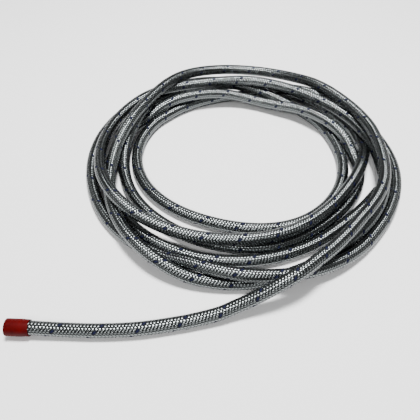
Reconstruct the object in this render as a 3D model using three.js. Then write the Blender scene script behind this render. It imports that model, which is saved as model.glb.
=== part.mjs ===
// A coil of steel-braided fuel hose lying flat, with its free end led out in front
// and closed by a push-on end cap. Millimetres, +Z up, standing on z = 0.
// The coil is one turned solid whose turns show on its top, bottom and sides. The free
// end is a tube that lies over the coil, comes down in front of it and ends in the cap.
import * as THREE from 'three';

// The hose.
const hoseDiameter = 14.3;
const hoseSides = 10;

// The coil: turns side by side on the floor, with a second layer in the hollows between.
const boreRadius = 113;
const turnPitch = 15.2;
const turnsAcross = 6;
const coilSegments = 48;
const arcSteps = 3;
const scallopSpan = 130;

// The push-on end cap.
const capLength = 23.6;
const capWall = 1.15;
const capMouthWall = 0.65;
const capTaperLength = 9;
const capEndWall = 1.6;
const capEdgeRadius = 2;
const capSegments = 24;

// What one solid keeps from its neighbour.
const clearance = 0.3;
const tubeStep = 34;

const hoseRadius = hoseDiameter / 2;
const capBoreRadius = hoseRadius + clearance;
const capRadius = capBoreRadius + capWall;
const layerRise = Math.sqrt(hoseDiameter ** 2 - (turnPitch / 2) ** 2);
const coilHeight = hoseDiameter + layerRise;
const turnRadius = (turn) => boreRadius + hoseRadius + turn * turnPitch;
const rimRadius = turnRadius(turnsAcross - 1) + hoseRadius;

// The free end's route, from the coil's right side to the middle of the cap's end wall.
// X counts from the coil's axis and Y from the front of its rim. It lies on the coil,
// comes down onto the floor, and rises by the cap's wall at the end.
const onCoil = coilHeight + hoseRadius + clearance;
const onFloor = hoseRadius;
const inCap = capRadius;
const tailRoute = [
  [168, 214, onCoil],
  [169, 187, onCoil],
  [167, 161, onCoil],
  [161, 136, onCoil],
  [149, 113, onCoil],
  [135, 94, onCoil],
  [121, 78, onCoil],
  [107, 62, onCoil],
  [88, 43, onCoil],
  [70, 28, onCoil],
  [50, 12, onCoil],
  [29, 1, 29],
  [14, -5, 23],
  [-1, -10, 17],
  [-16, -15, 12.5],
  [-30, -20, 9.5],
  [-50, -25, 7.8],
  [-69, -29, onFloor],
  [-107, -35, onFloor],
  [-146, -37, onFloor],
  [-184, -36, 7.4],
  [-210, -35, inCap],
  [-236, -34, inCap],
].map(([x, y, z]) => new THREE.Vector3(x, y - rimRadius, z));

const steelBraid = new THREE.MeshStandardMaterial({ color: 0x6d736f, metalness: 0.85, roughness: 0.42 });
const redVinyl = new THREE.MeshStandardMaterial({ color: 0x7a0c12, metalness: 0, roughness: 0.6 });

// Points of an arc about (x, z), with the middle of each facet on the true circle.
function arc(x, z, startDegrees, steps) {
  const stepAngle = THREE.MathUtils.degToRad(scallopSpan / arcSteps);
  const cornerRadius = hoseRadius / Math.cos(stepAngle / 2);
  const points = [];
  for (let i = 0; i <= steps; i += 1) {
    const angle = THREE.MathUtils.degToRad(startDegrees) + i * stepAngle;
    points.push(new THREE.Vector2(x + cornerRadius * Math.cos(angle), z + cornerRadius * Math.sin(angle)));
  }
  return points;
}

// The coil's section: half-round turns below, then back over the upper layer.
function coilProfile() {
  const lowStart = 270 - scallopSpan / 2;
  const highStart = 90 - scallopSpan / 2;
  const stepDegrees = scallopSpan / arcSteps;
  const lastTurn = turnsAcross - 1;
  const wrap = 3;
  const points = [...arc(turnRadius(0), hoseRadius, lowStart - wrap * stepDegrees, arcSteps + wrap)];
  for (let turn = 1; turn < lastTurn; turn += 1) {
    points.push(...arc(turnRadius(turn), hoseRadius, lowStart, arcSteps));
  }
  points.push(...arc(turnRadius(lastTurn), hoseRadius, lowStart, arcSteps + wrap));
  for (let turn = lastTurn - 1; turn >= 0; turn -= 1) {
    const outer = turn === lastTurn - 1 ? 1 : 0;
    const inner = turn === 0 ? 1 : 0;
    points.push(...arc(turnRadius(turn + 0.5), hoseRadius + layerRise,
      highStart - outer * stepDegrees, arcSteps + outer + inner));
  }
  points.push(points[0].clone());
  return points;
}

// The profile's radius and height, turned about the Z axis.
function buildCoil() {
  const geometry = new THREE.LatheGeometry(coilProfile(), coilSegments).rotateX(Math.PI / 2);
  return new THREE.Mesh(geometry, steelBraid);
}

const capEnd = tailRoute.at(-1);
const capAxis = capEnd.clone().sub(tailRoute.at(-2)).normalize();

function buildTail() {
  const lastPoint = capEnd.clone().addScaledVector(capAxis, -(capEndWall + clearance));
  const path = new THREE.CatmullRomCurve3([...tailRoute.slice(0, -1), lastPoint]);
  const section = new THREE.Shape();
  for (let side = 0; side < hoseSides; side += 1) {
    const angle = (side + 0.5) * 2 * Math.PI / hoseSides;
    const corner = [hoseRadius * Math.cos(angle), hoseRadius * Math.sin(angle)];
    if (side === 0) {
      section.moveTo(...corner);
    } else {
      section.lineTo(...corner);
    }
  }
  section.closePath();
  const steps = Math.round(path.getLength() / tubeStep);
  const geometry = new THREE.ExtrudeGeometry(section, { steps, extrudePath: path });
  return new THREE.Mesh(geometry, steelBraid);
}

// A cup over the hose's end: the closed end at height 0, its mouth at -capLength.
function buildCap() {
  const bore = capBoreRadius / Math.cos(Math.PI / capSegments);
  const mouthRadius = capBoreRadius + capMouthWall;
  const profile = [
    new THREE.Vector2(0, -capEndWall),
    new THREE.Vector2(bore, -capEndWall),
    new THREE.Vector2(bore, -capLength),
    new THREE.Vector2(mouthRadius, -capLength),
    new THREE.Vector2(capRadius, -capLength + capTaperLength),
    new THREE.Vector2(capRadius, -capEdgeRadius),
    new THREE.Vector2(capRadius - capEdgeRadius * (1 - Math.SQRT1_2), -capEdgeRadius * (1 - Math.SQRT1_2)),
    new THREE.Vector2(capRadius - capEdgeRadius, 0),
    new THREE.Vector2(0, 0),
  ];
  const cap = new THREE.Mesh(new THREE.LatheGeometry(profile, capSegments), redVinyl);
  cap.position.copy(capEnd);
  cap.quaternion.setFromUnitVectors(new THREE.Vector3(0, 1, 0), capAxis);
  return cap;
}

const pieces = { hose_coil: buildCoil(), hose_tail: buildTail(), end_cap: buildCap() };
const part = new THREE.Group();
for (const [name, mesh] of Object.entries(pieces)) {
  mesh.name = name;
  part.add(mesh);
}

// The origin is the middle of the footprint, on the floor.
const middle = new THREE.Box3().setFromObject(part, true).getCenter(new THREE.Vector3());
part.position.set(-middle.x, -middle.y, 0);
part.updateMatrixWorld(true);

export default part;
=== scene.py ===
import math

import bmesh
import bpy
from mathutils import Matrix, Vector


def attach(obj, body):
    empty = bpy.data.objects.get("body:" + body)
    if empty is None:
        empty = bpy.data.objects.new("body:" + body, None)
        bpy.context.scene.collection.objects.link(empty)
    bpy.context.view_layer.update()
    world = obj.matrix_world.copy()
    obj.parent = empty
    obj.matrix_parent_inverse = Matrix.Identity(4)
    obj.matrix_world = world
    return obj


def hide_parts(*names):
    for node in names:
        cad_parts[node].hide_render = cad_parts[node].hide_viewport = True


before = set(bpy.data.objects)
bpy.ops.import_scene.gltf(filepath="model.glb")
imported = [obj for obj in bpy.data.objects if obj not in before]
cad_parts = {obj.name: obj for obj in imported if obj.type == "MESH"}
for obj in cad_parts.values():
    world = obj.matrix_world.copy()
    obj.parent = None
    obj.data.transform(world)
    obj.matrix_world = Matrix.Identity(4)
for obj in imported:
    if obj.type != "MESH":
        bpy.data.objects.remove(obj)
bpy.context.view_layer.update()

# Camera.
# It looks down on the coil from in front, as in the photograph, and a little to the left.
camera_data = bpy.data.cameras.new("camera")
camera_data.sensor_width = 36.0
camera_data.lens = 39.86
camera = bpy.data.objects.new("camera", camera_data)
camera.location = (-0.02364, -0.41575, 0.42328)
camera.rotation_euler = (math.radians(39.9), 0, 0)
bpy.context.collection.objects.link(camera)
bpy.context.scene.camera = camera

# Rubber liner.
# The hose is one length of black rubber tube under its braid. It is rolled up by hand
# in six loose turns on the floor, and its free end is led out over them to the front.
hose_diameter = 0.0143
liner_radius = 0.00655
coil_axis = Vector((0.0164, 0.021828, 0))
coil_front = -0.2033
top_height = 0.0338
cap_end_gap = 0.0019
first_clock = 340
clock_step = 10

# How far each turn lies from the coil's axis and above the floor, in hose diameters,
# at every ten degrees of the clock, one row a turn, from the hidden end onwards.
turn_radii = [
    [12.15, 11.55, 11.14, 10.96, 10.97, 11.03, 11.11, 11.24, 11.41, 11.59, 11.71, 11.85,
     11.94, 11.95, 11.90, 11.77, 11.56, 11.26, 10.87, 10.37, 9.89, 9.33, 8.85, 8.53,
     8.32, 8.13, 7.93, 7.81, 7.83, 8.09, 8.39, 8.74, 9.20, 9.74, 10.10, 10.40],
    [10.40, 10.24, 10.06, 9.96, 9.97, 10.04, 10.11, 10.08, 10.01, 9.98, 10.00, 10.07,
     10.18, 10.30, 10.38, 10.43, 10.44, 10.44, 10.46, 10.64, 10.93, 11.23, 11.35, 11.10,
     10.49, 9.69, 9.03, 8.75, 8.81, 8.90, 8.96, 8.99, 8.97, 8.96, 9.01, 9.03],
    [9.02, 8.99, 8.94, 8.86, 8.74, 8.56, 8.34, 8.15, 8.04, 8.02, 8.12, 8.30,
     8.54, 8.80, 9.04, 9.23, 9.37, 9.43, 9.41, 9.32, 9.11, 8.99, 8.88, 8.82,
     8.86, 9.00, 9.32, 9.74, 10.24, 10.85, 11.47, 12.06, 12.60, 13.03, 13.34, 13.49],
    [13.48, 13.39, 13.32, 13.35, 13.37, 13.33, 13.24, 13.09, 12.86, 12.60, 12.65, 12.85,
     13.06, 13.20, 13.25, 13.29, 13.29, 13.24, 13.09, 12.89, 12.70, 12.53, 12.35, 12.09,
     11.72, 11.34, 10.99, 10.75, 10.67, 10.74, 10.94, 11.17, 11.31, 11.18, 10.90, 10.43],
    [10.03, 9.73, 9.57, 9.53, 9.61, 9.73, 9.83, 9.95, 10.13, 10.40, 10.78, 11.25,
     11.74, 12.11, 12.30, 12.32, 12.32, 12.29, 12.22, 12.06, 11.79, 11.38, 10.84, 10.24,
     9.65, 9.20, 9.00, 9.11, 9.45, 9.91, 10.43, 10.89, 11.25, 11.55, 11.83, 12.10],
    [12.36, 12.49, 12.47, 12.37, 12.41, 12.59, 12.84, 13.13, 13.35, 13.52, 13.46, 13.19,
     12.82, 12.37, 11.85, 11.38, 10.97, 10.62, 10.40, 10.39, 10.62, 11.00, 11.53, 12.09,
     12.53, 12.73, 12.63, 12.30, 11.88, 11.54, 11.38, 11.41, 11.55, 11.72],
]
turn_heights = [
    [0.50, 0.50, 0.50, 0.50, 0.50, 0.50, 0.50, 0.50, 0.50, 0.50, 0.50, 0.50,
     0.50, 0.50, 0.50, 0.50, 0.50, 0.50, 0.50, 0.50, 1.08, 1.44, 1.53, 1.48,
     1.34, 1.10, 0.93, 0.88, 1.00, 1.18, 1.36, 1.49, 1.47, 1.12, 0.57, 0.50],
    [0.50, 0.50, 0.50, 0.50, 0.50, 0.50, 0.50, 0.50, 0.50, 0.50, 0.50, 0.50,
     0.50, 0.50, 0.51, 0.62, 0.84, 1.12, 1.38, 1.44, 1.01, 0.52, 0.50, 0.67,
     0.98, 1.29, 1.41, 1.22, 0.86, 0.60, 0.50, 0.50, 0.50, 0.50, 0.50, 0.50],
    [0.50, 0.50, 0.50, 0.50, 0.50, 0.50, 0.50, 0.50, 0.50, 0.50, 0.50, 0.50,
     0.50, 0.50, 0.50, 0.50, 0.50, 0.50, 0.50, 0.50, 0.50, 0.50, 0.50, 0.50,
     0.50, 0.50, 0.51, 0.92, 1.40, 1.47, 1.34, 1.06, 0.78, 0.59, 0.50, 0.50],
    [0.50, 0.50, 0.50, 0.60, 0.88, 1.17, 1.41, 1.50, 1.44, 1.21, 0.78, 0.55,
     0.50, 0.50, 0.50, 0.50, 0.50, 0.50, 0.50, 0.50, 0.50, 0.50, 0.50, 0.50,
     0.50, 0.50, 0.50, 0.50, 0.50, 0.50, 0.50, 0.50, 0.50, 0.52, 1.12, 1.51],
    [1.59, 1.53, 1.45, 1.41, 1.43, 1.45, 1.46, 1.49, 1.49, 1.52, 1.65, 1.87,
     2.13, 2.36, 2.34, 2.08, 1.79, 1.56, 1.45, 1.46, 1.52, 1.49, 1.46, 1.61,
     1.90, 2.20, 2.36, 2.27, 2.07, 1.83, 1.62, 1.49, 1.45, 1.42, 1.40, 1.39],
    [1.43, 1.26, 1.04, 0.81, 0.58, 0.50, 0.50, 0.50, 0.57, 0.83, 1.34, 1.49,
     1.47, 1.40, 1.47, 1.60, 1.84, 2.12, 2.35, 2.36, 2.36, 2.36, 2.17, 1.77,
     1.37, 1.13, 1.14, 1.38, 1.78, 2.19, 2.36, 2.36, 2.36, 2.37],
]

# The free end, as in the solids: X from the coil's axis, Y from the front of its rim.
free_end = [
    (168, 214, 33.86), (169, 187, 33.86), (167, 161, 33.86), (161, 136, 33.86),
    (149, 113, 33.86), (135, 94, 33.86), (121, 78, 33.86), (107, 62, 33.86),
    (88, 43, 33.86), (70, 28, 33.86), (50, 12, 33.86), (29, 1, 29),
    (14, -5, 23), (-1, -10, 17), (-16, -15, 12.5), (-30, -20, 9.5),
    (-50, -25, 7.8), (-69, -29, 7.15), (-107, -35, 7.15), (-146, -37, 7.15),
    (-184, -36, 7.4), (-210, -35, 8.6), (-236, -34, 8.6),
]

hose_points = []
clock = first_clock
for radii, heights in zip(turn_radii, turn_heights):
    for radius, height in zip(radii, heights):
        spoke = Vector((math.cos(math.radians(clock)), math.sin(math.radians(clock)), 0))
        hose_points.append(coil_axis + hose_diameter * (radius * spoke + Vector((0, 0, height))))
        clock -= clock_step
for x, y, z in free_end:
    hose_points.append(coil_axis + Vector((x / 1000, y / 1000 + coil_front, z / 1000)))
cap_end = hose_points[-1].copy()
cap_axis = (cap_end - hose_points[-2]).normalized()
hose_points[-1] = cap_end - cap_end_gap * cap_axis


def smooth_route(points, spacing):
    """A smooth line through the points, in short steps, between the floor and the top layer."""
    line = []
    ends = [2 * points[0] - points[1]] + points + [2 * points[-1] - points[-2]]
    for before, start, end, after in zip(ends, ends[1:], ends[2:], ends[3:]):
        reach = (end - start).length
        leave = (end - before) * reach / ((start - before).length + reach)
        arrive = (after - start) * reach / (reach + (after - end).length)
        steps = max(1, round(reach / spacing))
        for step in range(steps):
            t = step / steps
            place = ((2 * t ** 3 - 3 * t ** 2 + 1) * start + (t ** 3 - 2 * t ** 2 + t) * leave
                     + (3 * t ** 2 - 2 * t ** 3) * end + (t ** 3 - t ** 2) * arrive)
            place.z = min(max(place.z, hose_diameter / 2), top_height)
            line.append(place)
    return line + [points[-1].copy()]


hose_line = smooth_route(hose_points, 0.006)
hose_length = sum((b - a).length for a, b in zip(hose_line, hose_line[1:]))


def curve_along(name, line):
    """An open curve with one spline through the points of the line."""
    data = bpy.data.curves.new(name, "CURVE")
    data.dimensions = "3D"
    data.use_path = True
    spline = data.splines.new("POLY")
    spline.points.add(len(line) - 1)
    for point, place in zip(spline.points, line):
        point.co = (*place, 1)
    obj = bpy.data.objects.new(name, data)
    bpy.context.collection.objects.link(obj)
    return obj


bore_depth = 0.02
skipped = 0
passed = 0.0
while passed < bore_depth:
    passed += (hose_line[skipped + 1] - hose_line[skipped]).length
    skipped += 1
liner = curve_along("hose_liner", hose_line[skipped:])
liner.data.bevel_depth = liner_radius
liner.data.bevel_resolution = 4
liner.data.use_fill_caps = True

rubber = bpy.data.materials.new("black_rubber")
rubber.use_nodes = True
nodes, links = rubber.node_tree.nodes, rubber.node_tree.links
shader = nodes["Principled BSDF"]
shader.inputs["Metallic"].default_value = 0.0
place_node = nodes.new("ShaderNodeTexCoord")
grain = nodes.new("ShaderNodeTexNoise")
grain.inputs["Scale"].default_value = 900
grain.inputs["Detail"].default_value = 3
shade = nodes.new("ShaderNodeValToRGB")
shade.color_ramp.elements[0].color = (0.010, 0.011, 0.011, 1)
shade.color_ramp.elements[1].color = (0.026, 0.027, 0.026, 1)
dull = nodes.new("ShaderNodeMapRange")
dull.inputs["To Min"].default_value = 0.6
dull.inputs["To Max"].default_value = 0.85
bump = nodes.new("ShaderNodeBump")
bump.inputs["Strength"].default_value = 0.3
bump.inputs["Distance"].default_value = 0.0002
links.new(place_node.outputs["Object"], grain.inputs["Vector"])
links.new(grain.outputs["Fac"], shade.inputs["Fac"])
links.new(grain.outputs["Fac"], dull.inputs["Value"])
links.new(grain.outputs["Fac"], bump.inputs["Height"])
links.new(shade.outputs["Color"], shader.inputs["Base Color"])
links.new(dull.outputs["Result"], shader.inputs["Roughness"])
links.new(bump.outputs["Normal"], shader.inputs["Normal"])
liner.data.materials.append(rubber)
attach(liner, "root")
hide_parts("hose_coil", "hose_tail")

# Cut end of the liner.
# At the hidden end the rubber tube is cut square, and its bore is open.
guide = curve_along("hose_guide", hose_line)


def bent_along(guide_curve, mesh, name, count=1, step=0.0):
    """A finished mesh: the straight one repeated along X and bent along the guide curve."""
    straight = bpy.data.objects.new(name, mesh)
    bpy.context.collection.objects.link(straight)
    if count > 1:
        row = straight.modifiers.new("row", "ARRAY")
        row.count = count
        row.use_relative_offset = False
        row.use_constant_offset = True
        row.constant_offset_displace = (step, 0, 0)
    bend = straight.modifiers.new("bend", "CURVE")
    bend.object = guide_curve
    bend.deform_axis = "POS_X"
    bpy.context.view_layer.update()
    evaluated = straight.evaluated_get(bpy.context.evaluated_depsgraph_get())
    finished = bpy.data.meshes.new_from_object(evaluated)
    finished.name = name
    straight.modifiers.clear()
    straight.data = finished
    return straight


bore_radius = 0.00475
end_ring = bmesh.new()
profile = [(bore_depth + 0.002, bore_radius), (0.0004, bore_radius), (0, bore_radius + 0.0004),
           (0, liner_radius - 0.0004), (0.0004, liner_radius), (bore_depth + 0.002, liner_radius)]
corners = [end_ring.verts.new((x, radius, 0)) for x, radius in profile]
edges = [end_ring.edges.new(pair) for pair in zip(corners, corners[1:])]
bmesh.ops.subdivide_edges(end_ring, edges=[edges[0], edges[-1]], cuts=4)
bmesh.ops.spin(end_ring, geom=end_ring.verts[:] + end_ring.edges[:], cent=(0, 0, 0),
               axis=(1, 0, 0), angle=math.tau, steps=32, use_merge=True)
bmesh.ops.recalc_face_normals(end_ring, faces=end_ring.faces)
ring_mesh = bpy.data.meshes.new("liner_end")
end_ring.to_mesh(ring_mesh)
end_ring.free()
ring_mesh.materials.append(rubber)
ring_mesh.polygons.foreach_set("use_smooth", [True] * len(ring_mesh.polygons))
liner_end = bent_along(guide, ring_mesh, "liner_end")
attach(liner_end, "root")

# Steel braid.
# Twenty-four bands of fine steel wire are plaited round the liner, each over two bands
# and under two. One band is dark blue: the maker's tracer. It stands proud of the liner.
band_count = 24
wires_in_band = 8
columns = band_count // 2
usual_lead = 0.0403
leads = round(hose_length / usual_lead)
lead = hose_length / leads
row_pitch = lead / columns
outer_radius = 0.0071
column_width = math.tau * outer_radius / columns
lean = math.atan2(column_width, row_pitch)
float_length = 1.24 * math.hypot(row_pitch, column_width)
float_width = row_pitch * math.sin(lean)

# One float: the stretch of a band that shows on top, high in the middle, tucked under at its ends.
# Steel floats keep to the left half of the baked picture, and blue ones to the right half.
one_float = bmesh.new()
wire_map = one_float.loops.layers.uv.new("wires")
bmesh.ops.create_grid(one_float, x_segments=5, y_segments=3, size=0.5, calc_uvs=True)
bake_map = one_float.loops.layers.uv.new("OFBake")
wire_map = one_float.loops.layers.uv["wires"]
for face in one_float.faces:
    for loop in face.loops:
        u, v = loop[wire_map].uv
        loop[bake_map].uv = (0.02 + 0.46 * u, 0.02 + 0.96 * v)
for vert in one_float.verts:
    along, across = 2 * vert.co.x, 2 * vert.co.y
    vert.co = (vert.co.x * float_length, vert.co.y * float_width * 1.02,
               -0.00075 * abs(along) ** 2.6 - 0.00028 * abs(across) ** 3)
float_mesh = bpy.data.meshes.new("float")
one_float.to_mesh(float_mesh)
one_float.free()

# One lead of the braid, plaited flat and then rolled round the liner.
braid = bmesh.new()
for column in range(columns):
    for row in range(columns):
        right_hand = column % 2 == 0
        start = len(braid.verts)
        faces_before = len(braid.faces)
        braid.from_mesh(float_mesh)
        braid.verts.ensure_lookup_table()
        braid.faces.ensure_lookup_table()
        lay = Matrix.Rotation(lean if right_hand else -lean, 4, "Z")
        along = row_pitch * (row + (0.25 if right_hand else 0.75))
        around = column_width * (column + 0.25)
        bmesh.ops.transform(braid, matrix=Matrix.Translation((along, around, 0)) @ lay,
                            verts=braid.verts[start:])
        if not right_hand and (column + row + 1) % columns == 0:
            bake_map = braid.loops.layers.uv["OFBake"]
            for face in braid.faces[faces_before:]:
                face.material_index = 1
                for loop in face.loops:
                    loop[bake_map].uv.x += 0.5
for vert in braid.verts:
    angle = vert.co.y / outer_radius
    reach = outer_radius + vert.co.z
    vert.co = (vert.co.x, reach * math.cos(angle), reach * math.sin(angle))
for face in braid.faces:
    face.smooth = True
braid_unit = bpy.data.meshes.new("braid_lead")
braid.to_mesh(braid_unit)
braid.free()

# Wire lay: the wires' relief as Height for the bump, and as Shade a mask of painted highlight and
# painted shade for the base colour.
wire_lay = bpy.data.node_groups.new("wire_lay", "ShaderNodeTree")
wire_lay.interface.new_socket("Wires", in_out="INPUT", socket_type="NodeSocketFloat")
wire_lay.interface.new_socket("Height", in_out="OUTPUT", socket_type="NodeSocketFloat")
wire_lay.interface.new_socket("Shade", in_out="OUTPUT", socket_type="NodeSocketFloat")
nodes, links = wire_lay.nodes, wire_lay.links
group_in = nodes.new("NodeGroupInput")
group_out = nodes.new("NodeGroupOutput")
map_node = nodes.new("ShaderNodeUVMap")
map_node.uv_map = "wires"
split = nodes.new("ShaderNodeSeparateXYZ")
links.new(map_node.outputs["UV"], split.inputs["Vector"])


def maths(operation, first, second=None):
    """A Math node fed by sockets or plain numbers, and its result."""
    node = nodes.new("ShaderNodeMath")
    node.operation = operation
    for socket, value in zip(node.inputs, (first, second)):
        if isinstance(value, bpy.types.NodeSocket):
            links.new(value, socket)
        elif value is not None:
            socket.default_value = value
    return node.outputs[0]


wire_phase = maths("MULTIPLY", split.outputs["Y"], group_in.outputs["Wires"])
within_wire = maths("FRACT", wire_phase)
off_centre = maths("SUBTRACT", within_wire, 0.5)
ridge = maths("SUBTRACT", 1.0, maths("MULTIPLY", 4.0, maths("MULTIPLY", off_centre, off_centre)))
# Painted light on each float: the base colour is lighter in its middle as a painted highlight, with
# painted shade towards its edges and its tucked-under ends.
across = maths("ABSOLUTE", maths("SUBTRACT", split.outputs["Y"], 0.5))
along = maths("ABSOLUTE", maths("SUBTRACT", split.outputs["X"], 0.5))
edge = maths("POWER", maths("MULTIPLY", 2.0, across), 2.3)
tuck = maths("POWER", maths("MULTIPLY", 2.0, along), 1.2)
clear = maths("MULTIPLY", maths("SUBTRACT", 1.0, edge), maths("SUBTRACT", 1.0, tuck))
links.new(ridge, group_out.inputs["Height"])
# Painted shade between the wires: the colour is darker in each groove and lighter on each wire's
# ridge.
painted_groove_shade = maths("ADD", 0.6, maths("MULTIPLY", 0.4, ridge))
links.new(maths("MULTIPLY", clear, painted_groove_shade), group_out.inputs["Shade"])


def band_material(name, dark, light, metallic, rough_low, rough_high):
    """A band of parallel wires, its base colour painted with light: a painted highlight on each
    float's middle and on the wire ridges, painted shade between the wires and at the float's edges
    and ends.
    """
    material = bpy.data.materials.new(name)
    material.use_nodes = True
    tree = material.node_tree
    shader = tree.nodes["Principled BSDF"]
    shader.inputs["Metallic"].default_value = metallic
    wires = tree.nodes.new("ShaderNodeGroup")
    wires.node_tree = wire_lay
    wires.inputs["Wires"].default_value = wires_in_band
    place = tree.nodes.new("ShaderNodeTexCoord")
    cloud = tree.nodes.new("ShaderNodeTexNoise")
    cloud.inputs["Scale"].default_value = 160
    cloud.inputs["Detail"].default_value = 4
    colour = tree.nodes.new("ShaderNodeMix")
    colour.data_type = "RGBA"
    colour.inputs[6].default_value = (*dark, 1)
    colour.inputs[7].default_value = (*light, 1)
    rough = tree.nodes.new("ShaderNodeMapRange")
    rough.inputs["From Min"].default_value = 0.3
    rough.inputs["From Max"].default_value = 0.7
    rough.inputs["To Min"].default_value = rough_low
    rough.inputs["To Max"].default_value = rough_high
    bump = tree.nodes.new("ShaderNodeBump")
    bump.inputs["Strength"].default_value = 0.15
    bump.inputs["Distance"].default_value = 0.00012
    tree.links.new(place.outputs["Object"], cloud.inputs["Vector"])
    # The base colour runs from the dark colour in the painted shade to the light colour in the
    # painted highlight.
    tree.links.new(wires.outputs["Shade"], colour.inputs[0])
    tree.links.new(colour.outputs[2], shader.inputs["Base Color"])
    tree.links.new(cloud.outputs["Fac"], rough.inputs["Value"])
    tree.links.new(rough.outputs["Result"], shader.inputs["Roughness"])
    tree.links.new(wires.outputs["Height"], bump.inputs["Height"])
    tree.links.new(bump.outputs["Normal"], shader.inputs["Normal"])
    return material


# For each band the dark colour is its painted shade and the light colour its painted highlight.
steel = band_material("steel_wire", (0.002, 0.0025, 0.0026), (0.25, 0.27, 0.272), 1.0, 0.22, 0.3)
tracer = band_material("blue_wire", (0.001, 0.0015, 0.006), (0.003, 0.005, 0.032), 0.0, 0.6, 0.75)
tracer.node_tree.nodes["Principled BSDF"].inputs["Specular IOR Level"].default_value = 0.15
braid_unit.materials.append(steel)
braid_unit.materials.append(tracer)

lengths = 5
braid_pieces = []
for number in range(lengths):
    first_lead = leads * number // lengths
    last_lead = leads * (number + 1) // lengths
    stretch = braid_unit.copy()
    stretch.transform(Matrix.Translation((first_lead * lead, 0, 0)))
    piece = bent_along(guide, stretch, "hose_braid_%d" % (number + 1), last_lead - first_lead, lead)
    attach(piece, "root")
    braid_pieces.append(piece)
bpy.data.objects.remove(guide)
for piece in braid_pieces[:-1]:
    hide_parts("hose_coil")
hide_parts("hose_coil", "hose_tail")

# End cap.
# A soft plastic cap, dark red, is dipped or moulded and pushed over the free end. Its
# closed end is slightly domed, and its mouth is thinner and a little uneven.
cap_length = 0.0236
cap_radius = 0.00845
cap_mouth_radius = 0.008
cap_bore_radius = 0.00725
cap_wall = 0.0016
cap = bmesh.new()
profile = [(0, 0.0), (0.0048, -0.00012), (cap_radius, -0.0005), (cap_radius, -0.0146),
           (cap_mouth_radius, -cap_length), (cap_bore_radius, -cap_length),
           (cap_bore_radius, -cap_wall), (0, -cap_wall)]
corners = [cap.verts.new((radius, 0, height)) for radius, height in profile]
edges = [cap.edges.new(pair) for pair in zip(corners, corners[1:])]
bmesh.ops.subdivide_edges(cap, edges=[edges[2], edges[3]], cuts=3)
bmesh.ops.spin(cap, geom=cap.verts[:] + cap.edges[:], cent=(0, 0, 0), axis=(0, 0, 1),
               angle=math.tau, steps=48, use_merge=True)
bmesh.ops.remove_doubles(cap, verts=cap.verts, dist=1e-6)
bmesh.ops.recalc_face_normals(cap, faces=cap.faces)
rims = [edge for edge in cap.edges if len(edge.link_faces) == 2 and edge.calc_face_angle() > 0.7]
bmesh.ops.bevel(cap, geom=rims, offset=0.0016, offset_type="OFFSET", affect="EDGES", segments=5,
                profile=0.5, material=-1, clamp_overlap=True)
for vert in cap.verts:
    turn = math.atan2(vert.co.y, vert.co.x)
    reach = max(0.0, -vert.co.z / cap_length)
    vert.co.z += 0.00035 * reach ** 3 * (math.sin(turn + 0.6) + 0.35 * math.sin(3 * turn))
    swell = 1 + 0.012 * reach * math.sin(2 * turn + 1.1) * (1 - reach)
    vert.co.x *= swell
    vert.co.y *= swell
turned = Vector((0, 0, 1)).rotation_difference(cap_axis).to_matrix().to_4x4()
bmesh.ops.transform(cap, matrix=Matrix.Translation(cap_end) @ turned, verts=cap.verts)
cap_mesh = bpy.data.meshes.new("red_end_cap")
cap.to_mesh(cap_mesh)
cap.free()
cap_mesh.polygons.foreach_set("use_smooth", [True] * len(cap_mesh.polygons))
red_cap = bpy.data.objects.new("red_end_cap", cap_mesh)
bpy.context.collection.objects.link(red_cap)

vinyl = bpy.data.materials.new("red_vinyl")
vinyl.use_nodes = True
nodes, links = vinyl.node_tree.nodes, vinyl.node_tree.links
shader = nodes["Principled BSDF"]
shader.inputs["Metallic"].default_value = 0.0
shader.inputs["Specular IOR Level"].default_value = 0.06
place_node = nodes.new("ShaderNodeTexCoord")
cloud = nodes.new("ShaderNodeTexNoise")
cloud.inputs["Scale"].default_value = 140
cloud.inputs["Detail"].default_value = 5
shade = nodes.new("ShaderNodeValToRGB")
shade.color_ramp.elements[0].position = 0.3
shade.color_ramp.elements[0].color = (0.042, 0.0, 0.0003, 1)
shade.color_ramp.elements[1].position = 0.7
shade.color_ramp.elements[1].color = (0.075, 0.0, 0.0004, 1)
dull = nodes.new("ShaderNodeMapRange")
dull.inputs["To Min"].default_value = 0.42
dull.inputs["To Max"].default_value = 0.62
grain = nodes.new("ShaderNodeTexNoise")
grain.inputs["Scale"].default_value = 1600
bump = nodes.new("ShaderNodeBump")
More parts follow.
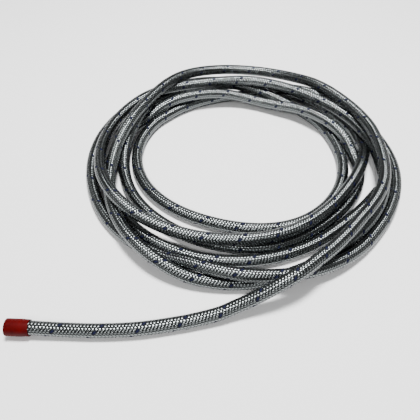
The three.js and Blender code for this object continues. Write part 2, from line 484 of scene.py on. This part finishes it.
bump.inputs["Strength"].default_value = 0.25
bump.inputs["Distance"].default_value = 0.0001
links.new(place_node.outputs["Object"], cloud.inputs["Vector"])
links.new(place_node.outputs["Object"], grain.inputs["Vector"])
links.new(cloud.outputs["Fac"], shade.inputs["Fac"])
links.new(cloud.outputs["Fac"], dull.inputs["Value"])
links.new(grain.outputs["Fac"], bump.inputs["Height"])
links.new(shade.outputs["Color"], shader.inputs["Base Color"])
links.new(dull.outputs["Result"], shader.inputs["Roughness"])
links.new(bump.outputs["Normal"], shader.inputs["Normal"])
cap_mesh.materials.append(vinyl)
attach(red_cap, "root")
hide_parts("end_cap")

# Floor.
# A plain pale sheet of card, larger than the view.
floor_shape = bmesh.new()
bmesh.ops.create_grid(floor_shape, x_segments=1, y_segments=1, size=3.0)
floor_mesh = bpy.data.meshes.new("floor")
floor_shape.to_mesh(floor_mesh)
floor_shape.free()
floor = bpy.data.objects.new("floor", floor_mesh)
bpy.context.collection.objects.link(floor)
card = bpy.data.materials.new("pale_card")
card.use_nodes = True
card.node_tree.nodes["Principled BSDF"].inputs["Base Color"].default_value = (0.95, 0.95, 0.95, 1)
card.node_tree.nodes["Principled BSDF"].inputs["Roughness"].default_value = 0.9
floor_mesh.materials.append(card)

# Studio light.
# A dim soft room, one large lamp overhead, and a weak one from the front.
world = bpy.data.worlds.new("studio")
world.use_nodes = True
world.node_tree.nodes["Background"].inputs["Color"].default_value = (1, 1, 1, 1)
world.node_tree.nodes["Background"].inputs["Strength"].default_value = 0.3
bpy.context.scene.world = world
for name, place, aim, size, power in (
        ("key", (0.05, 0.15, 1.6), (0, 0, 0), 0.35, 68),
        ("front", (-0.3, -1.0, 1.1), (0, 0, 0), 0.25, 7)):
    lamp_data = bpy.data.lights.new(name, "AREA")
    lamp_data.size = size
    lamp_data.energy = power
    lamp = bpy.data.objects.new(name, lamp_data)
    lamp.location = place
    lamp.rotation_euler = (Vector(aim) - Vector(place)).to_track_quat("-Z", "Y").to_euler()
    bpy.context.collection.objects.link(lamp)
